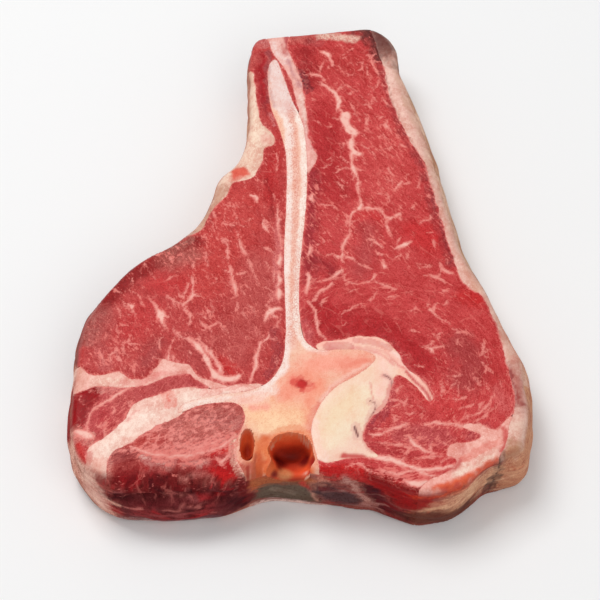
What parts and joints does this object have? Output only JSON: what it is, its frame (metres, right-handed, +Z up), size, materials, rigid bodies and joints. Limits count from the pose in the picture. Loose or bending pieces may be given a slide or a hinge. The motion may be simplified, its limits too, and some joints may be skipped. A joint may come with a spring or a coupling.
{
  "type": "raw t-bone steak",
  "caption": "Raw T-bone steak: a flat slice of strip loin and tenderloin either side of a split backbone with its long side process, with fat between and around the muscles.",
  "frame": {"origin": "middle of the underside of the bounding box, on the surface that the steak lies on", "axes": "+Z up through the thickness, +Y along the bone's long stem towards its tip, +X from the tenderloin side to the strip loin side"},
  "size_m": [0.1702, 0.2126, 0.028],
  "materials": {
    "lean": "moist red meat with fine marbling",
    "fat": "soft pinkish white fat, slightly greasy",
    "pad_fat": "firm cream fat, smooth",
    "bone": "sawn bone, ivory rim and pink spongy core"
  },
  "bodies": {
    "root": {"bone": "bone", "tip_fat": "fat", "fat_cap": "fat", "corner_fat": "fat", "fat_pad": "pad_fat", "seam_fat": "fat", "flank_seam": "fat", "edge_fat": "fat", "strip_loin": "lean", "under_lean": "lean", "chain_lean": "lean", "tenderloin": "lean"}
  },
  "joints": []
}
